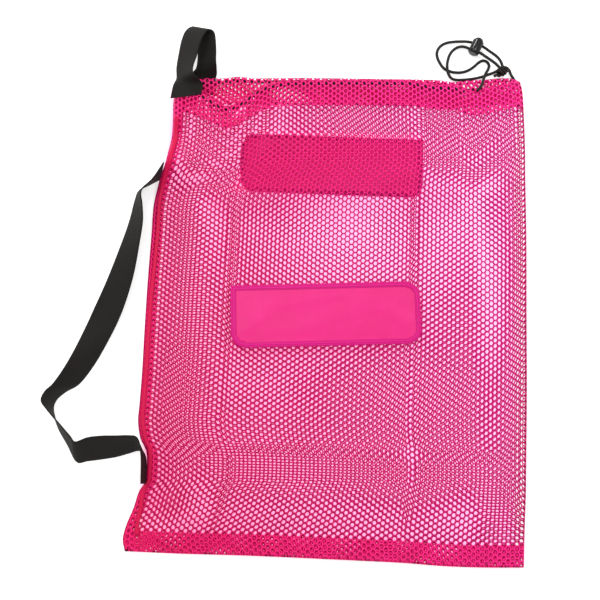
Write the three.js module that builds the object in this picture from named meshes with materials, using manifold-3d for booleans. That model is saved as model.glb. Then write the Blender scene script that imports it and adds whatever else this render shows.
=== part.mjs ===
// Mesh drawstring equipment bag, lying on its back with the mouth towards +Y.
// A pocket of hexagonal net is folded at its right side, seamed at its left side and hemmed along the
// bottom. A turned-in hem at the mouth carries the drawcord, and webbing makes a hang loop and a strap.
// Millimetres, +Z up, the surface that the bag lies on is Z = 0.

import * as THREE from 'three';
import { mergeVertices } from 'three/addons/utils/BufferGeometryUtils.js';
import Module from 'manifold-3d';

const wasm = await Module();
wasm.setup();

const { lerp, clamp } = THREE.MathUtils;

// Driving dimensions
const NET = 1.2; // thickness of one layer of net
const NOMINAL_WIDTH = 445; // bag, side to side
const NOMINAL_LENGTH = 572; // bag, bottom to mouth
const BODY_HEIGHT = 16.4; // lying height over the body of the bag
const MOUTH_HEIGHT = 20.8; // lying height at the mouth
const HEM_HEIGHT = 5; // lying height of the sewn bottom hem
const BOTTOM_HEM = 24; // depth of the bottom hem
const SLEEVE = 33; // depth of the drawcord hem at the mouth
const CHANNEL = 5; // room for the cord inside the drawcord hem
const SEAM_HEIGHT = 2.7; // two layers of net in the left seam
const SEAM_RAISE = 2.2; // how far the stiff seam stands off the surface
const GAP = 0.3; // clearance between pieces that touch on the real bag
const WEB_THICK = 1.6; // black webbing, 38 mm wide
const WEB_LOWEST = 1; // lowest middle of the webbing's thickness
const CORD = 3.6; // drawcord diameter
const PATCH = { width: 224, height: 75, corner: 18, thick: 1.6 };
const FRONT_PATCH = { x: 48.5, y: -42, turn: 1.4 };
const BACK_PATCH = { x: 57.5, y: 148, turn: -2.2 };
const BINDING = { width: 6.5, thick: 2.2 }; // tape round each patch
const TAPE = { width: 6, thick: 1.2, gap: 0.5, from: -296, to: 193 }; // seam tape, from y to y
// Cord lock. Lengths run along its barrel from its centre, towards the button
const LOCK = {
  centre: [241.1, 306],
  turn: 64,
  radius: 7.25,
  bore: 5.3,
  plunger: 5,
  foot: -14,
  floor: -12.2,
  top: 4.7,
  lip: 1,
  slot: { middle: -4.4, length: 14.2, height: 4.8 },
  prong: -8,
  stem: 6,
  head: { top: 8.1, bevel: 1.2 },
};
const KNOT = { centre: [270.4, 268.4, 11], radius: 6.6, length: 16, turn: 38 };

// Outline on the surface. Each table has a row for each turn of the edge.
// Columns: y, x
const LEFT_EDGE = [
  [-314, -181], [-300, -184], [-283, -180], [-266, -173], [-252, -168.5], [-243, -160.2], [-238, -159.3],
  [-206, -159.3], [-197, -161.5], [-188, -167], [-166, -171], [-149, -170], [-106, -168], [-65, -167],
  [-3, -165], [61, -162], [90, -161], [105, -159], [126, -153], [146, -143.5], [173, -141], [198, -139.5],
  [225, -139], [246, -137],
];
const RIGHT_EDGE = [
  [-332, 272], [-317, 273], [-256, 276.5], [-211, 279], [-129, 283.5], [-45, 287], [59, 291.5], [130, 293.5],
  [171, 295], [227, 295], [242, 294.4], [254, 292],
];
// Columns: y, distance of the seam tape's middle from the left edge
const SEAM_INSET = [
  [-314, 17], [-296, 16], [-283, 12.5], [-266, 8.5], [-252, 6], [-240, 4], [-206, 4], [-188, 6], [-149, 5],
  [105, 5], [146, 4.5], [195, 5.5],
];
// Columns: x, y
const BOTTOM_EDGE = [
  [-181, -314], [-125, -316.5], [-39, -319], [75, -324], [136, -327], [182, -330.5], [227, -332], [272, -332],
];
const FRONT_RIM = [
  [-137, 246], [-120, 243], [-105, 237], [-88, 227], [-72, 219], [-57, 225], [-45, 234], [-30, 245],
  [-7, 252], [18, 254], [156, 254], [166, 252], [181, 248.5], [200, 248], [210, 247], [218, 244],
  [227, 240.5], [234, 239.5], [243, 241.5], [269, 248], [292, 254],
];
const BACK_RIM = [
  [-137, 246], [-125, 256], [-108, 260], [-76, 261], [-57, 263.5], [-39, 262], [20, 262.5], [90, 261.5],
  [181, 260], [194, 259], [208, 257], [225, 258.5], [252, 260.5], [263, 261.5], [276, 262], [286, 260.5],
  [292, 254],
];

// Soft folds of the front panel. Columns: from x, from y, to x, to y, height, width
const FOLDS = [
  [-20, -290, -5, 120, 1.6, 26],
  [128, -300, 140, 90, 1.8, 30],
  [-130, 120, 60, 60, 1.7, 22],
  [-140, -150, 0, -250, 1.5, 24],
  [215, -280, 250, 190, 1.6, 24],
  [60, 215, 200, 100, 1.4, 24],
  [40, -120, 230, -230, -1.6, 26],
];
// What lifts the back panel off the surface. Columns: x, y, half width, half depth, ease, height
const LIFTS = [
  [BACK_PATCH.x, BACK_PATCH.y, 138, 50, 26, 2.6],
  [-98, 252, 34, 24, 16, 2.4],
];
// The standing end of the carry strap lifts the seam
const STRAP_LIFT = { y: 149, height: 24, spread: 16, reach: 42 };
// How far the bag takes to rise to its full height from each edge
const RISE = { fromBottomHem: 70, toMouth: 90, fromSeam: 55, seamRaise: 45 };
const SEAM_HALF = 4.5; // half the width of the sewn seam
// The side changes from sewn seam to plain fold over this distance from the rim
const SLEEVE_FOLD = { starts: 75, over: 37 };
// The front panel is free of folds near its edges and behind its patch
const CALM = { left: 20, right: 12, sides: 60, ends: 50 };
const FLAT = { halfWidth: 132, halfDepth: 64, ease: 24 };

// Webbing routes. Columns: x, y and z of one edge, then x, y and z of the other edge
const STRAP_ROUTE = [
  [-146, 147, 29, -155, 132, 1],
  [-157.5, 122, 36, -166, 121, 1],
  [-171, 105, 36, -179, 116, 1],
  [-170, 89, 33, -184, 103, 1],
  [-169, 70, 31, -189, 80, 1],
  [-172, 46, 28, -197, 53, 1],
  [-181, 0, 18, -214, 4, 1],
  [-197, -47, 9, -234, -46, 1],
  [-222, -94, 1, -250, -97, 26],
  [-241, -121, 1, -265, -124, 30],
  [-257, -131, 1, -273, -134, 35],
  [-268, -141, 1, -277, -145, 37],
  [-271, -153, 1, -270, -155, 38],
  [-264, -174, 1, -253, -174, 37],
  [-252, -194, 1, -242, -186, 37],
  [-241, -213, 1, -237, -192, 32],
  [-229, -212, 1, -224, -187, 30],
  [-213, -210, 1, -208, -185, 29],
  [-195, -207, 1, -191, -185, 31],
  [-181, -203, 1, -176, -185, 34],
  [-168, -200, 1, -166, -188, 36],
  [-162, -209, 1, -161.5, -207, 38],
  [-161, -238, 1, -160.6, -239, 38],
];
const LOOP_ROUTE = [
  [-141, 229, 24.6, -103, 233, 24.6],
  [-138, 243, 25, -102, 246, 26],
  [-135, 256, 16, -111, 250, 43],
  [-136, 273, 11, -112.5, 263, 38],
  [-134, 293, 8, -109, 279, 33],
  [-131, 313, 6, -105, 298, 31],
  [-126, 327, 4, -99, 312, 29],
  [-118, 333, 2, -94, 316, 28],
  [-112, 328, 1.2, -88, 311, 28],
  [-111, 304, 1.2, -86, 291, 27],
  [-111, 287, 1.2, -86, 276, 26],
  [-113, 276, 1.2, -85.5, 270, 21],
  [-120, 268.5, 1.2, -86, 266, 8],
  [-125, 261, 1.2, -88, 260.5, 1.2],
  [-126, 240, 1.2, -88, 241, 1.2],
];

// Free drawcord, from the mouth hem through the lock to the knot. Columns: x, y, z
const CORD_A_ROUTE = [
  [235.6, 236.6, 23.5], [241, 243, 22.6], [246.7, 257.8, 11.5], [250.8, 267.7, 6.2], [254.8, 276, 3.2],
  [256, 281.6, 2.1], [253.8, 285.6, 2], [249.4, 286, 2], [243.7, 283, 2], [237, 278.2, 2], [229.7, 273.6, 2],
  [221.6, 271, 2], [215, 270.6, 2], [206.4, 272.2, 2], [199.7, 275.8, 2], [194, 284, 2], [190.8, 293.8, 2],
  [191.6, 300, 2], [195.8, 306.4, 2], [202.7, 310.4, 2.2], [211.4, 311.5, 3.5], [220.7, 311, 5.5],
  [229.8, 309.8, 7.3], [236.4, 308.2, 7.6], [242.7, 305.8, 7.6], [249, 302.6, 7.6], [256, 297.2, 7.6],
  [263.6, 291, 7.8], [268.2, 285, 8.8], [271.2, 276.4, 10.4],
];
const CORD_B_ROUTE = [
  [284.6, 261.8, 5.8], [283.4, 264.8, 4.6], [282.4, 268.8, 2.9], [280.6, 274.6, 2], [276.6, 277.6, 2],
  [270, 275.6, 2], [263.3, 271.3, 2], [253.5, 267.5, 2], [245.4, 264.6, 2], [237.3, 262.6, 2],
  [229.2, 261.4, 2], [221.2, 260.8, 2], [213.1, 260.8, 2.4], [208.2, 262.2, 3.4], [204.1, 267.1, 5.4],
  [202.6, 274.9, 6.3], [204.2, 286.4, 3.4], [207.9, 296.3, 2.2], [214.5, 303, 2.6], [220.8, 304.6, 4.2],
  [226, 303, 6.4], [230.5, 300.6, 7.4], [237.6, 297.6, 7.6], [244.7, 294.3, 7.6], [250.9, 289.8, 7.6],
  [257.9, 284.3, 8], [263.4, 278.6, 9.6], [266.4, 275.1, 10.4],
];
// Where the cord leaves the hem: through its top near the right, and through its rim at the right corner
const EXIT_A = { x: 235, rise: [0.12, 0.35, 1] };
const EXIT_B = { rise: [-0.5, 1, 0] };
const EXIT_HOLE = { diameter: 5, length: 11 };

// Smooth curve through the rows of a table with two columns
function follow(rows) {
  const slope = rows.map((row, i) => {
    const before = rows[Math.max(i - 1, 0)];
    const after = rows[Math.min(i + 1, rows.length - 1)];
    return (after[1] - before[1]) / (after[0] - before[0]);
  });
  return (value) => {
    const at = clamp(value, rows[0][0], rows[rows.length - 1][0]);
    const i = clamp(rows.findIndex((row) => row[0] >= at) - 1, 0, rows.length - 2);
    const span = rows[i + 1][0] - rows[i][0];
    const t = (at - rows[i][0]) / span;
    const ends = rows[i][1] * (1 - t) ** 2 * (1 + 2 * t) + rows[i + 1][1] * t * t * (3 - 2 * t);
    return ends + span * t * (1 - t) * (slope[i] * (1 - t) - slope[i + 1] * t);
  };
}

const leftEdge = follow(LEFT_EDGE);
const rightEdge = follow(RIGHT_EDGE);
const seamInset = follow(SEAM_INSET);
const bottomEdge = follow(BOTTOM_EDGE);
const frontRim = follow(FRONT_RIM);
const backRim = follow(BACK_RIM);

const ease = (t) => THREE.MathUtils.smoothstep(t, 0, 1);
const quarterRound = (t) => Math.sqrt(1 - (1 - clamp(t, 0, 1)) ** 2);

// Plan position of a point of a panel, u from side to side and v from the bottom to the rim
function planPoint(u, v, rim) {
  let x = 0;
  let y = lerp(BOTTOM_EDGE[0][1], FRONT_RIM[0][1], v);
  for (let pass = 0; pass < 8; pass += 1) {
    x = lerp(leftEdge(y), rightEdge(y), u);
    y = lerp(bottomEdge(x), rim(x), v);
  }
  return [x, y];
}

// 1 where the side is a plain fold of the drawcord hem, 0 where it is the sewn seam
const sleeveShare = (fromRim) => ease((SLEEVE_FOLD.starts - fromRim) / SLEEVE_FOLD.over);

function liftAt(x, y) {
  const pads = LIFTS.map(([cx, cy, halfWidth, halfDepth, fade, height]) => (
    height * ease(1 - (Math.abs(x - cx) - halfWidth) / fade) * ease(1 - (Math.abs(y - cy) - halfDepth) / fade)
  ));
  const along = Math.exp(-0.5 * ((y - STRAP_LIFT.y) / STRAP_LIFT.spread) ** 2);
  const inward = Math.exp(-(((x - leftEdge(y)) / STRAP_LIFT.reach) ** 2));
  return Math.max(...pads) + STRAP_LIFT.height * along * inward;
}

function foldAt(x, y) {
  const across = ease((x - leftEdge(y) - CALM.left) / CALM.sides)
    * ease((rightEdge(y) - x - CALM.right) / CALM.sides);
  const along = ease((y - bottomEdge(x) - BOTTOM_HEM) / CALM.ends)
    * ease((frontRim(x) - y - SLEEVE) / CALM.ends);
  const besidePatch = ease((Math.abs(x - FRONT_PATCH.x) - FLAT.halfWidth) / FLAT.ease)
    + ease((Math.abs(y - FRONT_PATCH.y) - FLAT.halfDepth) / FLAT.ease);
  const height = FOLDS.reduce((sum, [x0, y0, x1, y1, crest, width]) => {
    const length = (x1 - x0) ** 2 + (y1 - y0) ** 2;
    const t = clamp(((x - x0) * (x1 - x0) + (y - y0) * (y1 - y0)) / length, 0, 1);
    const off = Math.hypot(x - lerp(x0, x1, t), y - lerp(y0, y1, t)) / width;
    return sum + crest * Math.exp(-off * off);
  }, 0);
  return height * across * along * Math.min(1, besidePatch);
}

// Heights of the bag's outer skin above the surface: its underside and its top
function heightsAt(x, y, rim) {
  const fromRim = rim(x) - y;
  const fromLeft = x - leftEdge(y);
  const full = HEM_HEIGHT
    + (BODY_HEIGHT - HEM_HEIGHT) * ease((y - bottomEdge(x) - BOTTOM_HEM) / RISE.fromBottomHem)
    + (MOUTH_HEIGHT - BODY_HEIGHT) * ease(1 - fromRim / RISE.toMouth);
  const sleeve = sleeveShare(fromRim);
  const seamed = lerp(SEAM_HEIGHT, full, ease((fromLeft - seamInset(y) - SEAM_HALF) / RISE.fromSeam));
  const leftFold = full * quarterRound(fromLeft / (full / 2));
  const rightFold = full * quarterRound((rightEdge(y) - x) / (full / 2));
  const thick = Math.max(0.6, Math.min(lerp(seamed, leftFold, sleeve), rightFold));
  const curl = (full - rightFold) / 2 + sleeve * (full - leftFold) / 2;
  const raise = (1 - sleeve) * SEAM_RAISE * (1 - ease(fromLeft / RISE.seamRaise));
  const under = curl + raise + liftAt(x, y);
  return { under, top: under + thick + foldAt(x, y) };
}

// Rows of the net's facets, in mm from the bottom edge, close together where the strap ends are sewn
const ROWS = [
  35, 48, 61, 70, 74, 108, 118, 127, 150, 178, 208, 238, 268, 299, 330, 361, 390, 414, 431, 445, 457, 468,
  478, 490, 506, 522,
];

// Stations across the bag, in mm from the left edge, at a share of the length
const MIDDLE_STATIONS = 14;
const FOLD_STATIONS = [0, 1.5, 4.5, 10, 24];
const SEAM_STATIONS = [0, 9, 22, 38];
function stationsAt(v) {
  const [, y] = planPoint(0, v, backRim);
  const seam = [0, ...SEAM_STATIONS.map((mm) => seamInset(y) + SEAM_HALF + mm)];
  const sleeve = sleeveShare((1 - v) * NOMINAL_LENGTH);
  const left = seam.map((mm, i) => lerp(mm, FOLD_STATIONS[i], sleeve));
  const right = FOLD_STATIONS.map((mm) => NOMINAL_WIDTH - mm).reverse();
  const step = (right[0] - left[4]) / MIDDLE_STATIONS;
  const middle = Array.from({ length: MIDDLE_STATIONS - 1 }, (_, i) => left[4] + step * (i + 1));
  return [...left, ...middle, ...right].map((mm) => mm / NOMINAL_WIDTH);
}

// One point of the pocket's wall, at a depth under its outer skin
function wallPoint(front, u, v, depth) {
  const rim = front ? frontRim : backRim;
  const sleeve = sleeveShare((1 - v) * NOMINAL_LENGTH);
  const [, edgeY] = planPoint(0, v, backRim);
  const inner = depth > 0 ? lerp(seamInset(edgeY) + SEAM_HALF, depth, sleeve) : 0;
  const [x, y] = planPoint(lerp(inner / NOMINAL_WIDTH, 1 - depth / NOMINAL_WIDTH, u), v, rim);
  const { under, top } = heightsAt(x, y, rim);
  return new THREE.Vector3(x, y, front ? top - depth : under + depth);
}

function wallRing(v, depth) {
  const stations = stationsAt(v);
  const front = stations.map((u) => wallPoint(true, u, v, depth));
  const back = stations.map((u) => wallPoint(false, u, v, depth));
  return [...front, ...back.reverse()];
}

function solidFrom(points, triangles) {
  const geometry = new THREE.BufferGeometry();
  geometry.setAttribute('position', new THREE.Float32BufferAttribute(points.flatMap((p) => p.toArray()), 3));
  geometry.setIndex(triangles);
  return geometry;
}

// Skin over closed rings of equal count, each end closed by a strip between the ring's two halves
function loft(rings) {
  const count = rings[0].length;
  const triangles = [];
  const quad = (a, b, c, d) => triangles.push(a, b, c, a, c, d);
  for (let r = 0; r + 1 < rings.length; r += 1) {
    for (let i = 0; i < count; i += 1) {
      const next = (i + 1) % count;
      quad(r * count + i, r * count + next, (r + 1) * count + next, (r + 1) * count + i);
    }
  }
  const last = (rings.length - 1) * count;
  for (let i = 0; i + 1 < count / 2; i += 1) {
    quad(i + 1, i, count - 1 - i, count - 2 - i);
    quad(last + i, last + i + 1, last + count - 2 - i, last + count - 1 - i);
  }
  return solidFrom(rings.flat(), triangles);
}

function toManifold(geometry) {
  const bare = geometry.clone();
  bare.deleteAttribute('normal');
  bare.deleteAttribute('uv');
  const merged = mergeVertices(bare, 1e-4);
  return new wasm.Manifold(new wasm.Mesh({
    numProp: 3,
    vertProperties: new Float32Array(merged.attributes.position.array),
    triVerts: new Uint32Array(merged.index.array),
  }));
}

function cut(geometry, tools) {
  const left = tools.reduce((solid, tool) => solid.subtract(toManifold(tool)), toManifold(geometry));
  const mesh = left.getMesh();
  const result = new THREE.BufferGeometry();
  result.setAttribute('position', new THREE.Float32BufferAttribute(mesh.vertProperties, 3));
  result.setIndex([...mesh.triVerts]);
  return result;
}

const bag = new THREE.Group();
function addPiece(name, geometry, colour, roughness) {
  geometry.computeVertexNormals();
  const material = new THREE.MeshStandardMaterial({ color: colour, roughness, metalness: 0 });
  const mesh = new THREE.Mesh(geometry, material);
  mesh.name = name;
  bag.add(mesh);
  return mesh;
}

// A route whose corner points are the steps of the tube along it
class Route extends THREE.Curve {
  constructor(points) {
    super();
    this.points = points;
  }

  getPoint(t, target = new THREE.Vector3()) {
    const s = t * (this.points.length - 1);
    const i = Math.min(Math.floor(s), this.points.length - 2);
    return target.lerpVectors(this.points[i], this.points[i + 1], s - i);
  }

  getSpacedPoints() {
    return this.points;
  }

  getTangentAt(t, target = new THREE.Vector3()) {
    const i = Math.round(t * (this.points.length - 1));
    const before = this.points[Math.max(i - 1, 0)];
    const after = this.points[Math.min(i + 1, this.points.length - 1)];
    return target.subVectors(after, before).normalize();
  }
}

const CORD_SIDES = 8;
function tube(points, diameter) {
  const section = new THREE.Shape();
  section.absarc(0, 0, diameter / 2, 0, 2 * Math.PI);
  return new THREE.ExtrudeGeometry(section, {
    steps: points.length - 1,
    extrudePath: new Route(points),
    curveSegments: CORD_SIDES / 2,
  });
}

function smoothRoute(rows, steps) {
  const curve = new THREE.CatmullRomCurve3(rows.map((row) => new THREE.Vector3(...row)));
  return curve.getSpacedPoints(steps);
}

// Depth of the channel between the panel and the turned-in layer of the mouth hem
const CHANNEL_FOOT = { starts: 9, over: 21, gap: 0.4 };
function channelAt(fromRim) {
  return lerp(CHANNEL, CHANNEL_FOOT.gap, ease((fromRim - CHANNEL_FOOT.starts) / CHANNEL_FOOT.over));
}
const shareAt = (fromRim) => 1 - fromRim / NOMINAL_LENGTH;

// Net pocket
const CHANNEL_TOP = 1.4; // distance of the channel's end from the rim
const RIM_ROUND = 1.5; // rounding of the rim
const hemTop = BOTTOM_HEM / NOMINAL_LENGTH;
const bodyShares = [hemTop, ...ROWS.map((mm) => mm / NOMINAL_LENGTH), shareAt(SLEEVE)];
const sleeveRows = [SLEEVE, 24, 14, 6]; // mm from the rim
const pocketRings = [
  wallRing(0, 0),
  wallRing(hemTop * 0.5, 0),
  ...bodyShares.map((v) => wallRing(v, 0)),
  ...[...sleeveRows.slice(1), RIM_ROUND].map((mm) => wallRing(shareAt(mm), 0)),
  wallRing(1, RIM_ROUND),
  wallRing(1, NET * 2 + CHANNEL - RIM_ROUND),
  ...[RIM_ROUND, ...[...sleeveRows].reverse()].map((mm) => wallRing(shareAt(mm), NET * 2 + channelAt(mm))),
  ...[...sleeveRows, CHANNEL_TOP].map((mm) => wallRing(shareAt(mm), NET + channelAt(mm))),
  ...[CHANNEL_TOP, ...[...sleeveRows].reverse()].map((mm) => wallRing(shareAt(mm), NET)),
  ...[...bodyShares].reverse().slice(1).map((v) => wallRing(v, NET)),
];

// Drawcord inside the mouth hem: from the right corner along the back, round the left corner, along the front
const CORD_INSET = CHANNEL_TOP + CORD;
const CORD_DEPTH = NET + CHANNEL / 2;
const channelShare = shareAt(CORD_INSET);
const channelStations = stationsAt(channelShare);
const alongBack = channelStations.map((u) => wallPoint(false, u, channelShare, CORD_DEPTH)).reverse();
const alongFront = channelStations.map((u) => wallPoint(true, u, channelShare, CORD_DEPTH));
const channelRoute = [...alongBack, ...alongFront.filter((p) => p.x < EXIT_A.x - EXIT_HOLE.length)];

// A short round hole in the hem where the cord comes out
function exitHole(from, rise) {
  const direction = new THREE.Vector3(...rise).normalize();
  return tube([from, from.clone().addScaledVector(direction, EXIT_HOLE.length)], EXIT_HOLE.diameter);
}
const exitHoleA = exitHole(alongFront.find((p) => p.x > EXIT_A.x).setX(EXIT_A.x), EXIT_A.rise);
const exitHoleB = exitHole(alongBack[0], EXIT_B.rise);

addPiece('mesh_body', cut(loft(pocketRings), [exitHoleA, exitHoleB]), '#ee2a86', 0.6);
addPiece('drawcord_channel', tube(channelRoute, CORD - GAP), '#22211f', 0.8);

// Webbing ribbon between two edges
function ribbon(rows, stepsPerRow) {
  const edge = (first) => new THREE.CatmullRomCurve3(
    rows.map((row) => new THREE.Vector3(...row.slice(first, first + 3))), false, 'centripetal',
  );
  const [one, other] = [edge(0), edge(3)];
  const steps = (rows.length - 1) * stepsPerRow;
  const rings = Array.from({ length: steps + 1 }, (_, i) => {
    const t = i / steps;
    const [a, b] = [one.getPoint(t), other.getPoint(t)];
    a.setZ(Math.max(a.z, WEB_LOWEST));
    b.setZ(Math.max(b.z, WEB_LOWEST));
    const along = one.getTangent(t).add(other.getTangent(t));
    const up = new THREE.Vector3().crossVectors(along, b.clone().sub(a)).setLength(WEB_THICK / 2);
    return [a.clone().sub(up), b.clone().sub(up), b.clone().add(up), a.clone().add(up)];
  });
  return loft(rings);
}

addPiece('carry_strap', ribbon(STRAP_ROUTE, 3), '#2b2a28', 0.85);
addPiece('hang_loop', ribbon(LOOP_ROUTE, 4), '#343330', 0.85);

// Seam tape along the left seam, on the net
const tapeShares = bodyShares.filter((v) => {
  const [, y] = planPoint(0, v, frontRim);
  return y > TAPE.from && y < TAPE.to;
});
const tapeRings = tapeShares.map((v) => {
  const [, edgeY] = planPoint(0, v, frontRim);
  const corner = (side, rise) => {
    const inset = seamInset(edgeY) + side * TAPE.width / 2;
    const point = wallPoint(true, inset / NOMINAL_WIDTH, v, 0);
    return point.setZ(point.z + TAPE.gap + rise);
  };
  return [corner(-1, TAPE.thick), corner(1, TAPE.thick), corner(1, 0), corner(-1, 0)];
});
addPiece('side_tape', loft(tapeRings), '#e0104f', 0.55);

// Sewn patch and the binding tape round its edge, lying flat. One corner is square.
const CORNER_STEPS = 5;
function patchOutline(inset) {
  const right = PATCH.width / 2 - inset;
  const top = PATCH.height / 2 - inset;
  const radius = PATCH.corner - inset;
  const outline = new THREE.Shape();
  outline.moveTo(-right, top);
  outline.lineTo(-right, radius - top);
  outline.absarc(radius - right, radius - top, radius, Math.PI, 1.5 * Math.PI);
  outline.absarc(right - radius, radius - top, radius, 1.5 * Math.PI, 2 * Math.PI);
  outline.absarc(right - radius, top - radius, radius, 0, 0.5 * Math.PI);
  outline.lineTo(-right, top);
  return outline;
}

function addPatch(name, { x, y, turn }, z, mirrored) {
  const field = patchOutline(BINDING.width + GAP);
  const frame = patchOutline(0);
  frame.holes.push(patchOutline(BINDING.width));
  const place = (geometry) => {
    if (mirrored) {
      geometry.rotateY(Math.PI);
      geometry.translate(0, 0, BINDING.thick);
    }
    return geometry.rotateZ(THREE.MathUtils.degToRad(turn)).translate(x, y, z);
  };
  const extrude = (shape, depth) => (
    new THREE.ExtrudeGeometry(shape, { depth, bevelEnabled: false, curveSegments: CORNER_STEPS })
  );
  addPiece(`${name}_patch`, place(extrude(field, PATCH.thick)), '#f5328c', 0.5);
  addPiece(`${name}_patch_binding`, place(extrude(frame, BINDING.thick)), '#e51a78', 0.5);
}

addPatch('front', FRONT_PATCH, BODY_HEIGHT + GAP, false);
addPatch('back', BACK_PATCH, 0, true);

// Free ends of the drawcord
const CORD_STEPS = 34;
addPiece('drawcord_a', tube(smoothRoute(CORD_A_ROUTE, CORD_STEPS), CORD), '#22211f', 0.8);
addPiece('drawcord_b', tube(smoothRoute(CORD_B_ROUTE, CORD_STEPS), CORD), '#22211f', 0.8);

// Knot that joins both ends: three turns of cord pulled into one lump
const KNOT_TURNS = 3;
const KNOT_ROWS = 14;
const KNOT_SIDES = 12;
const KNOT_NECK = 0.82; // radius between the turns, as a share of the radius on a turn
const KNOT_BLUNT = 0.45; // how blunt the ends are, 1 for a lens and 0 for a drum
const knotProfile = Array.from({ length: KNOT_ROWS + 1 }, (_, i) => {
  const t = i / KNOT_ROWS;
  const swell = lerp(KNOT_NECK, 1, Math.abs(Math.sin(KNOT_TURNS * Math.PI * t)));
  const radius = KNOT.radius * Math.sin(Math.PI * t) ** KNOT_BLUNT * swell;
  return new THREE.Vector2(i % KNOT_ROWS === 0 ? 0 : radius, KNOT.length * (t - 0.5));
});
const knot = new THREE.LatheGeometry(knotProfile, KNOT_SIDES);
knot.rotateZ(THREE.MathUtils.degToRad(KNOT.turn - 90)).translate(...KNOT.centre);
addPiece('end_knot', knot, '#22211f', 0.8);

// Cord lock: a barrel that both cords cross and a sprung button that slides in it
const LOCK_SIDES = 20;
function lockShape(profile) {
  return new THREE.LatheGeometry(profile.map(([r, along]) => new THREE.Vector2(r, along)), LOCK_SIDES);
}
function laidDown(geometry) {
  geometry.rotateZ(THREE.MathUtils.degToRad(LOCK.turn - 90));
  return geometry.translate(...LOCK.centre, LOCK.radius + GAP);
}
function crossSlot(from, to) {
  return new THREE.BoxGeometry(4 * LOCK.radius, to - from, LOCK.slot.height).translate(0, (from + to) / 2, 0);
}
const slotFrom = LOCK.slot.middle - LOCK.slot.length / 2;
const slotTo = LOCK.slot.middle + LOCK.slot.length / 2;
const barrel = lockShape([
  [0, LOCK.foot],
  [LOCK.radius - 2.5, LOCK.foot],
  [LOCK.radius - 0.8, LOCK.foot + 1],
  [LOCK.radius, LOCK.foot + 3.2],
  [LOCK.radius, LOCK.top - LOCK.lip],
  [LOCK.radius - LOCK.lip, LOCK.top],
  [LOCK.bore, LOCK.top],
  [LOCK.bore, LOCK.floor],
  [0, LOCK.floor],
]);
addPiece('cord_lock_barrel', laidDown(cut(barrel, [crossSlot(slotFrom, slotTo)])), '#2a2a28', 0.4);
const button = lockShape([
  [0, LOCK.prong],
  [LOCK.plunger, LOCK.prong],
  [LOCK.plunger, LOCK.head.top - LOCK.head.bevel],
  [LOCK.plunger - LOCK.head.bevel, LOCK.head.top],
  [0, LOCK.head.top],
]);
addPiece('cord_lock_button', laidDown(cut(button, [crossSlot(LOCK.prong - 1, LOCK.stem)])), '#2a2a28', 0.4);

// The origin is under the middle of the bag and its webbing
const ON_THE_CORD = ['drawcord_a', 'drawcord_b', 'end_knot', 'cord_lock_barrel', 'cord_lock_button'];
const extent = new THREE.Box3();
const sewn = bag.children.filter((mesh) => !ON_THE_CORD.includes(mesh.name));
sewn.forEach((mesh) => extent.expandByObject(mesh));
const middle = extent.getCenter(new THREE.Vector3());
bag.position.set(-middle.x, -middle.y, -extent.min.z);

export default bag;
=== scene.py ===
import math

import bmesh
import bpy
import numpy as np
from mathutils import Matrix, Vector


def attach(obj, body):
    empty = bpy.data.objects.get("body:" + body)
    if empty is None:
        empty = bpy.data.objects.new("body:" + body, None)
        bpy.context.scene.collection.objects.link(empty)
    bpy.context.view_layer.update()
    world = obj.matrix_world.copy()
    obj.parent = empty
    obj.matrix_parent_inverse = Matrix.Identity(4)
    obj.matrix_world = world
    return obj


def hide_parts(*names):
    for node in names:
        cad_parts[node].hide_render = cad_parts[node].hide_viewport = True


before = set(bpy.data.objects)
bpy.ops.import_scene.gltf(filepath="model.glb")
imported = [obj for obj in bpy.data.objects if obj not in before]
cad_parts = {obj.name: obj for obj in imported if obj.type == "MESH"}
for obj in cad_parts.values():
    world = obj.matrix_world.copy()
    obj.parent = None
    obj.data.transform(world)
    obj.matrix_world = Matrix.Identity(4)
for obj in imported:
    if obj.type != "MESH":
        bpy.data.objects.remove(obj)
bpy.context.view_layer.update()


# Camera: it looks down on the bag, which lies on a white table, from a little below its middle.
# The lens is a short telephoto, so the bag's sides stay nearly parallel.
aim = Vector((0.0093, -0.0218, 0.0))
distance = 1.2
tilt = math.radians(11.75)
camera = bpy.data.objects.new("camera", bpy.data.cameras.new("camera"))
camera.data.lens = 60
camera.data.sensor_width = 36
camera.location = aim + distance * Vector((0, -math.sin(tilt), math.cos(tilt)))
camera.rotation_euler = (tilt, 0, 0)
bpy.context.scene.collection.objects.link(camera)
bpy.context.scene.camera = camera
bpy.context.scene.view_settings.view_transform = "Standard"


# Free ends of the drawcord: black braided polyester cord, 3.6 mm thick. Both ends leave the mouth hem,
# cross in a loose loop on the table, go through the cord lock and end in one knot.
CORD_MM = 3.6
# Columns: x, y and z in millimetres of the bag's own layout
CORD_A_ROUTE = [
    (235.6, 236.6, 23.5), (241, 243, 22.6), (246.7, 257.8, 11.5), (250.8, 267.7, 6.2),
    (254.8, 275.4, 3.2), (255.9, 280.2, 2.2), (253.8, 284.7, 2), (249, 286.6, 2), (243.6, 284.3, 2),
    (237, 278.6, 2), (229.7, 273.6, 2), (221.6, 271, 2), (215, 270.6, 2), (206.4, 272.2, 2),
    (199.7, 275.8, 2), (194, 284, 2), (190.8, 293.8, 2), (191.6, 300, 2), (195.8, 306.4, 2),
    (202.7, 310.4, 2.2), (211.4, 311.5, 3.5), (220.7, 311, 5.5), (229.8, 309.8, 7.3),
    (236.4, 308.2, 7.6), (242.7, 305.8, 7.6), (249, 302.6, 7.6), (256, 297.2, 7.6), (263.6, 291, 7.8),
    (268.2, 285, 8.8), (270.6, 278, 10.2), (270.8, 272.5, 11.5),
]
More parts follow.
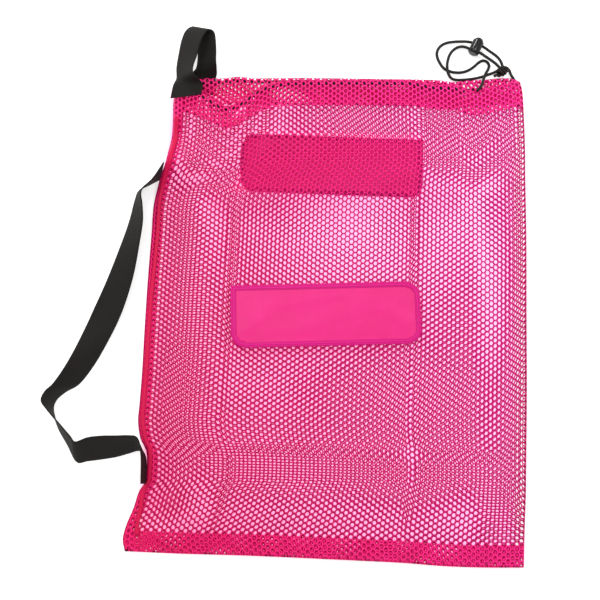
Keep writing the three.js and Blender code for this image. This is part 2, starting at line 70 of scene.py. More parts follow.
CORD_B_ROUTE = [
    (288, 254.4, 6.2), (284.6, 261.8, 5.8), (283.4, 264.8, 4.6), (282.4, 268.8, 2.9), (280.6, 274.6, 2),
    (276.6, 277.6, 2), (270, 275.6, 2), (263.3, 271.3, 2), (253.5, 267.5, 2), (245.4, 264.6, 2),
    (237.3, 262.6, 2), (229.2, 261.4, 2), (221.2, 260.8, 2), (213.1, 260.8, 2.4), (208.2, 262.2, 3.4),
    (204.1, 267.1, 5.4), (202.6, 274.9, 6.3), (204.2, 286.4, 3.4), (207.9, 296.3, 2.2),
    (214.5, 303, 2.6), (220.8, 304.6, 4.2), (226, 303, 6.4), (230.5, 300.6, 7.4), (237.6, 297.6, 7.6),
    (244.7, 294.3, 7.6), (250.9, 289.8, 7.6), (257.9, 284.3, 8), (263.4, 278.6, 9.6),
    (267.6, 272.5, 11.5),
]
LAYOUT_TO_FRAME = np.array((-8.696, -0.797, 0.0))


def to_frame(points_mm):
    """Points in millimetres of the bag's own layout, as metres in the frame."""
    return (np.asarray(points_mm, float) + LAYOUT_TO_FRAME) / 1000


def linear(hex_colour):
    """An sRGB hex colour as a linear one."""
    parts = [int(hex_colour[i:i + 2], 16) / 255 for i in (1, 3, 5)]
    return [c / 12.92 if c <= 0.04045 else ((c + 0.055) / 1.055) ** 2.4 for c in parts] + [1.0]


def add_node(tree, kind, inputs, **settings):
    """Adds one node with its settings, input values and links."""
    node = tree.nodes.new(kind)
    for name, value in settings.items():
        setattr(node, name, value)
    for name, value in inputs.items():
        if isinstance(value, bpy.types.NodeSocket):
            tree.links.new(value, node.inputs[name])
        else:
            node.inputs[name].default_value = value
    return node


def new_material(name):
    """An empty material and its node tree."""
    material = bpy.data.materials.new(name)
    material.use_nodes = True
    material.node_tree.nodes.clear()
    return material, material.node_tree


def finish_material(tree, shader):
    """Links a shader to the material's surface."""
    add_node(tree, "ShaderNodeOutputMaterial", {"Surface": shader.outputs[0]})


# Braided polyester: matt black, with slanting yarns that cross every 2.4 mm and catch the light on
# their crowns.
BRAID_MM = 2.4
YARNS_ROUND = 4
WAVE_PERIOD = 2 * math.pi / 20  # one band of a wave texture at scale 1


def braided_cord(name, length_mm):
    """Braid on a cord's own UV map: u runs along it and v round it."""
    material, tree = new_material(name)
    uv = add_node(tree, "ShaderNodeTexCoord", {})
    flat = add_node(tree, "ShaderNodeMapping", {
        "Vector": uv.outputs["UV"], "Scale": (length_mm / BRAID_MM, YARNS_ROUND, 1)})
    bands = []
    for turn in (45, -45):
        slanted = add_node(tree, "ShaderNodeMapping", {
            "Vector": flat.outputs[0], "Rotation": (0, 0, math.radians(turn))})
        bands.append(add_node(tree, "ShaderNodeTexWave", {
            "Vector": slanted.outputs[0], "Scale": WAVE_PERIOD * math.sqrt(2)}, bands_direction="X"))
    yarn = add_node(tree, "ShaderNodeMath", {0: bands[0].outputs["Fac"], 1: bands[1].outputs["Fac"]},
                    operation="MAXIMUM")
    colour = add_node(tree, "ShaderNodeMix", {
        "Factor": yarn.outputs[0], "A": linear("#050504"), "B": linear("#211f1c")}, data_type="RGBA")
    bump = add_node(tree, "ShaderNodeBump", {
        "Height": yarn.outputs[0], "Strength": 0.6, "Distance": 0.0004})
    finish_material(tree, add_node(tree, "ShaderNodeBsdfPrincipled", {
        "Base Color": colour.outputs["Result"], "Roughness": 0.6, "Specular IOR Level": 0.25,
        "Normal": bump.outputs[0]}))
    return material


def add_cord(name, route):
    """A round cord on one smooth open curve through a route in the frame."""
    curve = bpy.data.curves.new(name, "CURVE")
    curve.dimensions = "3D"
    curve.bevel_depth = CORD_MM / 2000
    curve.bevel_resolution = 3
    curve.resolution_u = 6
    curve.use_fill_caps = True
    spline = curve.splines.new("BEZIER")
    spline.bezier_points.add(len(route) - 1)
    for point, place in zip(spline.bezier_points, route):
        point.co = place
        point.handle_left_type = point.handle_right_type = "AUTO"
    cord = bpy.data.objects.new(name, curve)
    bpy.context.scene.collection.objects.link(cord)
    length_mm = 1000 * np.linalg.norm(np.diff(route, axis=0), axis=1).sum()
    curve.materials.append(braided_cord(name + "_black_braid", length_mm))
    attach(cord, "bag")
    return cord, length_mm / 1000


for cord_node, route_mm in (("drawcord_a", CORD_A_ROUTE), ("drawcord_b", CORD_B_ROUTE)):
    route = to_frame(route_mm)
    cord, cord_length = add_cord(cord_node + "_braid", route)
    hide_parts(cord_node)


# Net bag: warp-knitted polyester net with hexagonal holes, folded at the right side and seamed at the left.
# The panels keep the outline and height of the solid, and each strand is a ridge round its hole.
WIDTH, LENGTH = 445, 572  # flat size of a panel, mm
NET = 1.2
BODY_HEIGHT, MOUTH_HEIGHT, HEM_HEIGHT = 16.4, 20.8, 5
BOTTOM_HEM, SLEEVE, CHANNEL = 24, 33, 5
SEAM_HEIGHT, SEAM_RAISE, SEAM_HALF = 2.7, 2.2, 4.5
# Columns: y, x
LEFT_EDGE = [
    (-314, -181), (-300, -184), (-283, -180), (-266, -173), (-252, -169), (-245, -166.5), (-240, -162.8),
    (-234, -159.6), (-206, -159.3), (-197, -161.5), (-188, -167), (-166, -171), (-149, -170),
    (-106, -168), (-65, -167), (-3, -165), (61, -162), (90, -161), (105, -159), (126, -153),
    (146, -143.5), (173, -141), (198, -139.5), (225, -139), (246, -137),
]
RIGHT_EDGE = [
    (-332, 272), (-317, 273), (-256, 276.5), (-211, 279), (-129, 283.5), (-45, 287), (59, 291.5),
    (130, 293.5), (171, 295), (227, 295), (242, 294.4), (254, 292),
]
# Columns: y, distance of the seam tape's middle from the left edge
SEAM_INSET = [
    (-314, 17), (-296, 16), (-283, 12.5), (-266, 8.5), (-252, 6), (-240, 4), (-206, 4), (-188, 6), (-149, 5),
    (-30, 5.4), (30, 7), (85, 7.4), (110, 6), (146, 5), (195, 6),
]
# Columns: x, y
BOTTOM_EDGE = [
    (-181, -314), (-125, -316.5), (-39, -319), (75, -324), (136, -327), (182, -330.5), (227, -332),
    (272, -332),
]
FRONT_RIM = [
    (-137, 246), (-120, 243), (-105, 237), (-88, 227), (-72, 219), (-57, 225), (-45, 234), (-30, 245),
    (-7, 252), (18, 254), (156, 254), (166, 252), (181, 248.5), (200, 248), (210, 247), (218, 244),
    (227, 240.5), (234, 239.5), (243, 241.5), (269, 248), (292, 254),
]
BACK_RIM = [
    (-137, 246), (-125, 256), (-108, 260), (-76, 261), (-57, 263.5), (-39, 262), (20, 262.5), (90, 261.5),
    (181, 260), (194, 259), (208, 257), (225, 258.5), (252, 260.5), (263, 261.5), (276, 262), (286, 260.5),
    (292, 254),
]
# Soft folds of the front panel. Columns: from x, from y, to x, to y, height, width
FOLDS = [
    (-20, -290, -5, 120, 1.6, 26), (128, -300, 140, 90, 1.8, 30), (-130, 120, 60, 60, 1.7, 22),
    (-140, -150, 0, -250, 1.5, 24), (215, -280, 250, 190, 1.6, 24), (60, 215, 200, 100, 1.4, 24),
    (40, -120, 230, -230, -1.6, 26),
]
# Sharp creases from the way the bag was packed. Columns: from x, from y, to x, to y, height, width
CREASES = [
    (-72, 120, -76, -300, 1.6, 4), (152, 215, 158, -315, 1.8, 4), (-140, 112, 285, 104, 1.4, 4),
    (-150, -192, 275, -200, 1.6, 4), (-120, 60, -40, -60, 0.7, 5), (-130, -205, -60, -310, 0.8, 5),
    (30, -130, 110, -270, 0.7, 5), (200, -60, 280, -120, 0.6, 5), (170, 70, 285, 150, 0.6, 5),
]
FRONT_PATCH_X, FRONT_PATCH_Y = 48.5, -42
BACK_PATCH_X, BACK_PATCH_Y = 57.5, 148
# The back patch and the foot of the hang loop lift the back panel off the table, and so does the strap's end.
# Columns: x, y, half width, half depth, ease, height
LIFTS = [(BACK_PATCH_X, BACK_PATCH_Y, 138, 50, 26, 2.6), (-98, 252, 34, 24, 16, 2.4)]
STRAP_LIFT_Y, STRAP_LIFT, STRAP_SPREAD, STRAP_REACH = 149, 24, 16, 42
# Reach of the rise from the bottom hem, to the mouth, from the seam and of the raised seam itself
BODY_REACH, MOUTH_REACH, SEAM_REACH, RAISE_REACH = 70, 90, 55, 45
SLEEVE_REACH, SLEEVE_EASE = 75, 37  # below the rim, the left side is folded and not seamed
THINNEST = 0.6
# Folds and creases fade out toward the sides, the hems and the front patch.
CALM_LEFT, CALM_RIGHT, CALM_SIDES, CALM_HEMS = 20, 12, 60, 50
CALM_PATCH_X, CALM_PATCH_Y, CALM_PATCH = 132, 64, 24
DIPS_FROM = 0.72  # share of the panel's length above which the dips of its rim pull the net in
ROUNDS = 8  # the sides lean, so a point's place is found in rounds


def follow(rows):
    """A smooth curve through the rows of a table with two columns."""
    key, value = np.array(rows, float).T
    slope = np.concatenate((
        [(value[1] - value[0]) / (key[1] - key[0])],
        (value[2:] - value[:-2]) / (key[2:] - key[:-2]),
        [(value[-1] - value[-2]) / (key[-1] - key[-2])],
    ))

    def curve(at):
        at = np.clip(at, key[0], key[-1])
        i = np.clip(np.searchsorted(key, at) - 1, 0, len(key) - 2)
        span = key[i + 1] - key[i]
        t = (at - key[i]) / span
        ends = value[i] * (1 - t) ** 2 * (1 + 2 * t) + value[i + 1] * t * t * (3 - 2 * t)
        return ends + span * t * (1 - t) * (slope[i] * (1 - t) - slope[i + 1] * t)
    return curve


left_edge, right_edge, seam_inset = follow(LEFT_EDGE), follow(RIGHT_EDGE), follow(SEAM_INSET)
bottom_edge, front_rim, back_rim = follow(BOTTOM_EDGE), follow(FRONT_RIM), follow(BACK_RIM)
rim_level = follow([FRONT_RIM[0], FRONT_RIM[-1]])  # from corner to corner of the mouth


def ease(t):
    """0 to 1 with soft ends."""
    t = np.clip(t, 0, 1)
    return t * t * (3 - 2 * t)


def quarter_round(t):
    """Rise of a quarter circle."""
    return np.sqrt(1 - (1 - np.clip(t, 0, 1)) ** 2)


def plan(u, v, rim):
    """Place on the table of a panel's point, u from side to side and v from the bottom to the rim."""
    foot, top = BOTTOM_EDGE[0][1], FRONT_RIM[0][1]
    y = foot + (top - foot) * v
    dipped = ease((v - DIPS_FROM) / (1 - DIPS_FROM))
    for _ in range(ROUNDS):
        x = left_edge(y) + (right_edge(y) - left_edge(y)) * u
        level = rim_level(x)
        y = bottom_edge(x) + (level - bottom_edge(x)) * v + (rim(x) - level) * dipped
    return x, y


def heights(x, y, rim):
    """Heights of the bag's underside and top."""
    from_rim, from_left = rim(x) - y, x - left_edge(y)
    full = (HEM_HEIGHT + (BODY_HEIGHT - HEM_HEIGHT) * ease((y - bottom_edge(x) - BOTTOM_HEM) / BODY_REACH)
            + (MOUTH_HEIGHT - BODY_HEIGHT) * ease(1 - from_rim / MOUTH_REACH))
    sleeve = ease((SLEEVE_REACH - from_rim) / SLEEVE_EASE)
    seamed = SEAM_HEIGHT + (full - SEAM_HEIGHT) * ease((from_left - seam_inset(y) - SEAM_HALF) / SEAM_REACH)
    left_fold = full * quarter_round(from_left / (full / 2))
    right_fold = full * quarter_round((right_edge(y) - x) / (full / 2))
    thick = np.maximum(THINNEST, np.minimum(seamed + (left_fold - seamed) * sleeve, right_fold))
    curl = (full - right_fold) / 2 + sleeve * (full - left_fold) / 2
    raised = (1 - sleeve) * SEAM_RAISE * (1 - ease(from_left / RAISE_REACH))
    lift = np.max([
        height * ease(1 - (abs(x - cx) - half_x) / fade) * ease(1 - (abs(y - cy) - half_y) / fade)
        for cx, cy, half_x, half_y, fade, height in LIFTS], axis=0)
    lift = lift + (STRAP_LIFT * np.exp(-0.5 * ((y - STRAP_LIFT_Y) / STRAP_SPREAD) ** 2)
                   * np.exp(-(from_left / STRAP_REACH) ** 2))
    fold = 0
    for x0, y0, x1, y1, crest, width in FOLDS + CREASES:
        t = np.clip(((x - x0) * (x1 - x0) + (y - y0) * (y1 - y0)) / ((x1 - x0) ** 2 + (y1 - y0) ** 2), 0, 1)
        fold = fold + crest * np.exp(
            -((x - x0 - t * (x1 - x0)) ** 2 + (y - y0 - t * (y1 - y0)) ** 2) / width ** 2)
    calm = (ease((from_left - CALM_LEFT) / CALM_SIDES) * ease((right_edge(y) - x - CALM_RIGHT) / CALM_SIDES)
            * ease((y - bottom_edge(x) - BOTTOM_HEM) / CALM_HEMS)
            * ease((front_rim(x) - y - SLEEVE) / CALM_HEMS))
    beside_patch = (ease((abs(x - FRONT_PATCH_X) - CALM_PATCH_X) / CALM_PATCH)
                    + ease((abs(y - FRONT_PATCH_Y) - CALM_PATCH_Y) / CALM_PATCH))
    under = curl + raised + lift
    return under, under + thick + fold * calm * np.minimum(1, beside_patch)


def skin(front, u, v, depth, rise=0.0):
    """Points of the front or back wall, at a depth under its outer skin, lifted by rise."""
    rim = front_rim if front else back_rim
    x, y = plan(u, v, rim)
    under, top = heights(x, y, rim)
    inner = np.minimum(depth, (top - under) / 2)
    return to_frame(np.stack((x, y, (top - inner if front else under + inner) + rise), axis=-1))


# Net strands, real sizes: holes 4.85 mm apart in columns that step by half a 6.65 mm row.
COLUMN, ROW = 4.85, 6.65
STRAND = 1.6
HEM_STRAND = 2.4  # in the hems, where the net is gathered
SEAM_STRAND = 3.8  # in the seam allowance, where it is folded and sewn
SEAM_ALLOWANCE = 12
RIDGE = 0.5
WHOLE_HOLE = 0.45  # share of a cell below which a cut hole stays closed
# Where the back patch lies behind the net. Its middle and half size on a flat panel, slope and soft edge
BACKED_S, BACKED_T, BACKED_HALF_S, BACKED_HALF_T, BACKED_SLOPE, BACKED_EASE = 204.5, 467, 116, 41, 0.038, 8


def flat_net(from_mm, to_mm, loose=(0.0, 0.0), turn=0.0, shift=(0.0, 0.0)):
    """A flat net of hexagonal holes with ridged strands, which are wider outside of its loose stretch."""
    bm = bmesh.new()
    crown_layer, backed_painted_light_layer = bm.verts.layers.float.new("crown"), bm.verts.layers.float.new("backed_painted_light")
    spare_x, spare_y = 6 * COLUMN, 4 * ROW  # trimmed off after the turn
    bmesh.ops.create_circle(bm, cap_ends=True, segments=6, radius=1)
    bmesh.ops.rotate(bm, verts=bm.verts, matrix=Matrix.Rotation(math.radians(30), 3, "Z"))
    bmesh.ops.scale(bm, verts=bm.verts, vec=(COLUMN / 1.5, ROW / math.sqrt(3), 1))
    bmesh.ops.translate(bm, verts=bm.verts, vec=(shift[0] - spare_x, from_mm + shift[1] - spare_y, 0))
    second = bmesh.ops.duplicate(bm, geom=bm.verts[:] + bm.edges[:] + bm.faces[:])["geom"]
    bmesh.ops.translate(bm, verts=[g for g in second if isinstance(g, bmesh.types.BMVert)],
                        vec=(COLUMN, ROW / 2, 0))
    for step, span in ((Vector((0, ROW, 0)), to_mm - from_mm + 2 * spare_y),
                       (Vector((2 * COLUMN, 0, 0)), WIDTH + 2 * spare_x)):
        bmesh.ops.spin(bm, geom=bm.verts[:] + bm.edges[:] + bm.faces[:], axis=(0, 0, 1), cent=(0, 0, 0),
                       dvec=step, angle=0, steps=math.ceil(span / step.length), use_duplicate=True)
    bmesh.ops.remove_doubles(bm, verts=bm.verts, dist=0.05)
    bmesh.ops.rotate(bm, verts=bm.verts, cent=(WIDTH / 2, (from_mm + to_mm) / 2, 0),
                     matrix=Matrix.Rotation(math.radians(turn), 3, "Z"))
    for place, outward in (((0, from_mm, 0), (0, -1, 0)), ((0, to_mm, 0), (0, 1, 0)),
                           ((0, 0, 0), (-1, 0, 0)), ((WIDTH, 0, 0), (1, 0, 0))):
        bmesh.ops.bisect_plane(bm, geom=bm.verts[:] + bm.edges[:] + bm.faces[:], plane_co=place,
                               plane_no=outward, clear_outer=True, dist=0.01)
    crown = {v for v in bm.verts if not v.is_boundary}
    holes = [f for f in bm.faces if f.calc_area() > WHOLE_HOLE * COLUMN * ROW]
    by_strand = {SEAM_STRAND: [], STRAND: [], HEM_STRAND: []}
    for hole in holes:
        middle = hole.calc_center_median()
        strand = STRAND if loose[0] < middle.y < loose[1] else HEM_STRAND
        by_strand[SEAM_STRAND if middle.x < SEAM_ALLOWANCE else strand].append(hole)
    for strand, part in by_strand.items():
        bmesh.ops.inset_individual(bm, faces=part, thickness=strand / 2, use_even_offset=True)
    bmesh.ops.delete(bm, geom=holes, context="FACES")
    for v in crown:
        v.co.z = RIDGE
        v[crown_layer] = 1
    # This attribute marks where the strands' colour is painted brighter, a painted stand-in for light from
    # the cloth or net behind them.
    for v in bm.verts:
        s, t = v.co.x - BACKED_S, v.co.y - BACKED_T
        on_patch = (ease((BACKED_HALF_S - abs(s)) / BACKED_EASE)
                    * ease((BACKED_HALF_T - abs(t + BACKED_SLOPE * s)) / BACKED_EASE))
        single = loose[0] < v.co.y < loose[1] and v.co.x > SEAM_ALLOWANCE
        v[backed_painted_light_layer] = max(on_patch, 0 if single else 1)
    below = bmesh.ops.duplicate(bm, geom=bm.verts[:] + bm.edges[:] + bm.faces[:])["geom"]
    bmesh.ops.reverse_faces(bm, faces=[g for g in below if isinstance(g, bmesh.types.BMFace)])
    bmesh.ops.scale(bm, verts=[g for g in below if isinstance(g, bmesh.types.BMVert)], vec=(1, 1, -1))
    bmesh.ops.remove_doubles(bm, verts=bm.verts, dist=0.01)
    return bm


def add_piece(name, bm, place, material, body="bag"):
    """Puts a bmesh in the scene. place turns its flat coordinates into points in the frame."""
    mesh = bpy.data.meshes.new(name)
    bm.to_mesh(mesh)
    bm.free()
    co = np.empty(3 * len(mesh.vertices))
    mesh.vertices.foreach_get("co", co)
    mesh.vertices.foreach_set("co", place(*co.reshape(-1, 3).T).ravel())
    mesh.polygons.foreach_set("use_smooth", [True] * len(mesh.polygons))
    mesh.update()
    piece = bpy.data.objects.new(name, mesh)
    bpy.context.scene.collection.objects.link(piece)
    mesh.materials.append(material)
    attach(piece, body)
    return piece


# Knitted polyester yarn: hot pink, with a painted highlight on the crown of each strand and painted shade in
# its sides, redder toward the left foot of the bag. Where cloth or a second layer of net lies behind it, its
# colour is painted brighter, a painted stand-in for the light those layers pass back, and a faint painted
# pink glow lifts the shade in its layers.
STREAKS_PER_M, YARNS_PER_M = 45, 1400
net_material, tree = new_material("pink_knitted_polyester_net")
where = add_node(tree, "ShaderNodeTexCoord", {})
along_bag = add_node(tree, "ShaderNodeVectorMath", {
    0: where.outputs["Object"], 1: (1.5, 0.45, 0)}, operation="DOT_PRODUCT")
streak = add_node(tree, "ShaderNodeTexNoise", {
    "Vector": where.outputs["Object"], "Scale": STREAKS_PER_M, "Detail": 3, "Roughness": 0.6})
yarn = add_node(tree, "ShaderNodeTexNoise", {
    "Vector": where.outputs["Object"], "Scale": YARNS_PER_M, "Detail": 2})
crown = add_node(tree, "ShaderNodeAttribute", {}, attribute_name="crown")
backed_painted_light = add_node(tree, "ShaderNodeAttribute", {}, attribute_name="backed_painted_light")
uphill = add_node(tree, "ShaderNodeMapRange", {
    "Value": along_bag.outputs["Value"], "From Min": -0.4, "From Max": 0.53})
open_colour = add_node(tree, "ShaderNodeMix", {
    "Factor": uphill.outputs[0], "A": linear("#cc0a58"), "B": linear("#d61a8e")}, data_type="RGBA")
# Where cloth or a second net lies behind, the colour is painted brighter: painted light that lifts the shade
# of those layers.
backed_painted_light_colour = add_node(tree, "ShaderNodeMix", {
    "Factor": uphill.outputs[0], "A": linear("#e0085c"), "B": linear("#f92a98")}, data_type="RGBA")
# The crown of each strand gets a painted highlight.
crown_painted_highlight_colour = add_node(tree, "ShaderNodeMix", {
    "Factor": backed_painted_light.outputs["Fac"], "A": open_colour.outputs["Result"],
    "B": backed_painted_light_colour.outputs["Result"]}, data_type="RGBA")
# The sides of each strand get painted shade, darker than the crown.
side_painted_shade_colour = add_node(tree, "ShaderNodeMix", {
    "Factor": backed_painted_light.outputs["Fac"], "A": linear("#b00a50"), "B": linear("#d00a60")}, data_type="RGBA")
net_colour = add_node(tree, "ShaderNodeMix", {
    "Factor": crown.outputs["Fac"], "A": side_painted_shade_colour.outputs["Result"],
    "B": crown_painted_highlight_colour.outputs["Result"]}, data_type="RGBA")
streaked = add_node(tree, "ShaderNodeHueSaturation", {
    "Color": net_colour.outputs["Result"],
    "Value": add_node(tree, "ShaderNodeMapRange", {
        "Value": streak.outputs["Fac"], "To Min": 0.85, "To Max": 1.15}).outputs[0]})
net_bump = add_node(tree, "ShaderNodeBump", {
    "Height": yarn.outputs["Fac"], "Strength": 0.5, "Distance": 0.0003})
# A faint pink glow is painted into the net, lifting the shade between its layers.
finish_material(tree, add_node(tree, "ShaderNodeBsdfPrincipled", {
    "Base Color": streaked.outputs[0], "Roughness": 0.5, "Specular IOR Level": 0.25,
    "Normal": net_bump.outputs[0], "Emission Color": linear("#ff0a70"), "Emission Strength": 0.05}))

RIM_TURN = 2.2  # the panels stop this far below the rim, where the hem turns over
PANEL_FOOT, HEM_FOOT = 0.5, 1  # cut edges over the bottom fold
EDGE_EASE = 60
GATHER, GATHER_MM = 2.2, 34
BACK_SHIFT = (0.3, -2.2)  # of the back net's holes against the front ones
# The bag was packed folded, so the net of the back panel lies askew in flat facets between the creases.
# Columns: place across or along the flat panel, then the net's shift there, across and along
ASKEW_ACROSS = np.array([
    (0, -6, 4), (87, -0.6, 0.4), (97, 1.6, -0.8), (107, 0, 0), (303, 0.5, 0), (313, -1.4, 0.8),
    (323, 0.8, -0.2), (380, 2, 0.6), (445, 5, -5),
])
ASKEW_ALONG = np.array([
    (0, 0, 2), (60, -0.6, 0.8), (112, -1, -0.8), (122, -2.6, 0.4), (132, -0.8, -1.2), (200, -1.6, -1.2),
    (275, 0, 0), (428, 0, 0), (572, -3, 3),
])


def settled(s, t):
    """A point of the flat back net where it lies, askew between the creases and true at the panel's edges."""
    calm = ease(np.minimum(s, WIDTH - s) / EDGE_EASE) * ease(np.minimum(t, LENGTH - t) / EDGE_EASE)
    across_s, across_t = [np.interp(s, ASKEW_ACROSS[:, 0], ASKEW_ACROSS[:, i]) for i in (1, 2)]
    along_s, along_t = [np.interp(t, ASKEW_ALONG[:, 0], ASKEW_ALONG[:, i]) for i in (1, 2)]
    return s + calm * (across_s + along_s), t + calm * (across_t + along_t)


def gathered(s):
    """The hems are gathered a little unevenly along their length."""
    return s + GATHER * ease(np.minimum(s, WIDTH - s) / EDGE_EASE) * np.sin(s / GATHER_MM)


net_pieces = []
for front, shift in ((True, (0.0, 0.0)), (False, BACK_SHIFT)):
    side = "front" if front else "back"

    def on_panel(s, t, h, front=front):
        """A flat net's point on the bag."""
        if not front:
            s, t = settled(s, t)
        return skin(front, s / WIDTH, t / LENGTH, NET / 2, h)

    flat = flat_net(PANEL_FOOT, LENGTH - RIM_TURN, (BOTTOM_HEM, LENGTH - SLEEVE), shift=shift)
    panel = add_piece(side + "_net", flat, on_panel, net_material)
    net_pieces.append(panel)


# Mouth hem: the net turns over the rim and back down inside the bag, and a row of stitches closes the channel
# for the drawcord 33 mm below the rim. The bottom hem has a second layer of net inside it too.
STITCHED, NARROWS_FROM, NARROWS = 0.4, 9, 21


def channel_at(from_rim):
    """Room for the cord between the panel and the turned-in layer, which narrows to the stitches."""
    return CHANNEL + (STITCHED - CHANNEL) * ease((from_rim - NARROWS_FROM) / NARROWS)


TURN_DEPTH = NET + CHANNEL / 2
TURN_LENGTH = 8.4


def turned_hem(front, s, t, h):
    """Points of the hem: first round the rim, then down inside the bag."""
    angle = np.pi * np.clip(t / TURN_LENGTH, 0, 1)
    from_rim = np.where(t < TURN_LENGTH, RIM_TURN * (1 - np.sin(angle)), RIM_TURN + t - TURN_LENGTH)
    depth = np.where(t < TURN_LENGTH, TURN_DEPTH - (TURN_DEPTH - NET / 2) * np.cos(angle),
                     1.5 * NET + channel_at(from_rim))
    return skin(front, s / WIDTH, 1 - from_rim / LENGTH, depth, h * np.cos(angle))


# The turned-in net lies askew on the panel, so its strands cross the holes.
CROSSING = COLUMN / 1.5
HEM_ROW = 5.8
for front, turn, shift in ((True, 5.5, (CROSSING, HEM_ROW)), (False, -4.5, (-CROSSING, HEM_ROW))):
    side = "front" if front else "back"
    hem = add_piece(
        side + "_mouth_hem", flat_net(0, TURN_LENGTH + SLEEVE - RIM_TURN, turn=turn, shift=shift),
        lambda s, t, h, front=front: turned_hem(front, gathered(s), t, h), net_material)
    foot = add_piece(
        side + "_bottom_hem", flat_net(HEM_FOOT, BOTTOM_HEM, turn=turn, shift=shift),
        lambda s, t, h, front=front: skin(front, gathered(s) / WIDTH, t / LENGTH, 1.5 * NET, h),
        net_material)
    net_pieces += [hem, foot]
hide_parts("mesh_body")


# Drawcord inside the mouth hem, from the right corner along the back, round the left corner and along the
# front. It is the same braided cord as the free ends, and shows as dark dots through the net.
CORD_INSET = 5.0
EXIT_A_X, EXIT_GAP = 235, 4
SINK, SINK_FROM, SINK_IN, SINK_TO, SINK_OUT = 7, 140, 30, 286, 14  # behind the front rim
# Shares of the panel's width, closer together at the corners
across = np.concatenate(([0, 0.004, 0.012, 0.03], np.linspace(0.07, 0.93, 28), [0.97, 0.988, 0.996, 1]))
inset = TURN_DEPTH / WIDTH
across = inset + (1 - 2 * inset) * across
across_x = plan(across[::-1], 1 - CORD_INSET / LENGTH, back_rim)[0]
sunk = CORD_INSET + SINK * ease((across_x - SINK_FROM) / SINK_IN) * ease((SINK_TO - across_x) / SINK_OUT)
along_back = skin(False, across[::-1], 1 - sunk / LENGTH, TURN_DEPTH)
along_front = skin(True, across, 1 - CORD_INSET / LENGTH, TURN_DEPTH)
along_front = along_front[along_front[:, 0] < to_frame((EXIT_A_X - EXIT_GAP, 0, 0))[0]]
hem_cord, _ = add_cord("drawcord_in_hem", np.concatenate((along_back, along_front)))
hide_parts("drawcord_channel")


# Webbing: 38 mm black polypropylene, woven in a fine rib. The carry strap is sewn into the side seam at both
# ends and stands on edge there; the hang loop is sewn to the front and back of the mouth hem.
# Columns: x, y and z of one edge, then x, y and z of the other edge
STRAP_ROUTE = [
    (-146, 143, 29, -154, 130, 1), (-157.5, 120, 36, -165.5, 124, 1), (-171, 105, 36, -179, 116, 1),
    (-170, 89, 33, -184, 103, 1), (-169, 70, 31, -189, 80, 1), (-172, 46, 28, -197, 53, 1),
    (-181, 0, 18, -214, 4, 1), (-197, -47, 9, -234, -46, 1), (-222, -94, 1, -250, -97, 26),
    (-241, -121, 1, -265, -124, 30), (-257, -131, 1, -273, -134, 35), (-268, -141, 1, -277, -145, 37),
    (-271, -153, 1, -270, -155, 38), (-264, -174, 1, -253, -174, 37), (-252, -194, 1, -242, -186, 37),
    (-241, -213, 1, -237, -192, 32), (-229, -212, 1, -224, -187, 30), (-213, -210, 1, -208, -185, 29),
    (-195, -207, 1, -191, -185, 31), (-181, -203, 1, -176, -185, 34), (-168, -200, 1, -166, -188, 36),
    (-161, -209, 1, -160.8, -207, 38), (-159.9, -238, 1, -159.9, -239, 38),
]
LOOP_ROUTE = [
    (-141, 226.4, 24.6, -103, 232, 24.6), (-138, 243, 25, -102, 246, 26), (-135, 256, 16, -111, 250, 43),
    (-136, 273, 11, -112.5, 263, 38), (-134, 293, 8, -109, 279, 33), (-131, 313, 6, -105, 298, 31),
    (-126, 327, 4, -99, 312, 29), (-118, 333, 2, -94, 316, 28), (-112, 328, 1.2, -88, 311, 28),
    (-111, 304, 1.2, -86, 291, 27), (-111, 287, 1.2, -86, 276, 26), (-113, 276, 1.2, -85.5, 270, 21),
    (-120, 268.5, 1.2, -86, 266, 8), (-125, 261, 1.2, -88, 260.5, 1.2), (-126, 240, 1.2, -88, 241, 1.2),
]
WEB_MM, WEB_THICK, SELVEDGE = 38, 1.6, 0.4
WEB_LOWEST = 1.0  # of the middle of its thickness over the table
ROW_SAMPLES, CELLS_ACROSS = 40, 8

# Polypropylene webbing: soft black with a brown cast and a low slanting rib, a little fuzzy from use.
RIB_MM, RIB_SLANT = 2.6, 38  # twice the real pitch, so that the rib shows
FUZZ_PER_MM = 0.35
web_material, tree = new_material("black_polypropylene_webbing")
uv = add_node(tree, "ShaderNodeUVMap", {}, uv_map="weave_mm")
twill = add_node(tree, "ShaderNodeMapping", {
    "Vector": uv.outputs[0], "Rotation": (0, 0, math.radians(RIB_SLANT))})
rib = add_node(tree, "ShaderNodeTexWave", {
    "Vector": twill.outputs[0], "Scale": WAVE_PERIOD / RIB_MM, "Distortion": 0.6, "Detail": 1},
    bands_direction="X")
fuzz = add_node(tree, "ShaderNodeTexNoise", {
    "Vector": uv.outputs[0], "Scale": FUZZ_PER_MM, "Detail": 5, "Roughness": 0.7})
weave = add_node(tree, "ShaderNodeMix", {
    "Factor": 0.5, "A": rib.outputs["Fac"], "B": fuzz.outputs["Fac"]}, data_type="FLOAT")
web_colour = add_node(tree, "ShaderNodeMix", {
    "Factor": weave.outputs["Result"], "A": linear("#0b0a09"), "B": linear("#211e1b")}, data_type="RGBA")
web_bump = add_node(tree, "ShaderNodeBump", {
    "Height": rib.outputs["Fac"], "Strength": 0.5, "Distance": 0.0003})
finish_material(tree, add_node(tree, "ShaderNodeBsdfPrincipled", {
    "Base Color": web_colour.outputs["Result"], "Roughness": 0.8, "Specular IOR Level": 0.2,
    "Normal": web_bump.outputs[0]}))


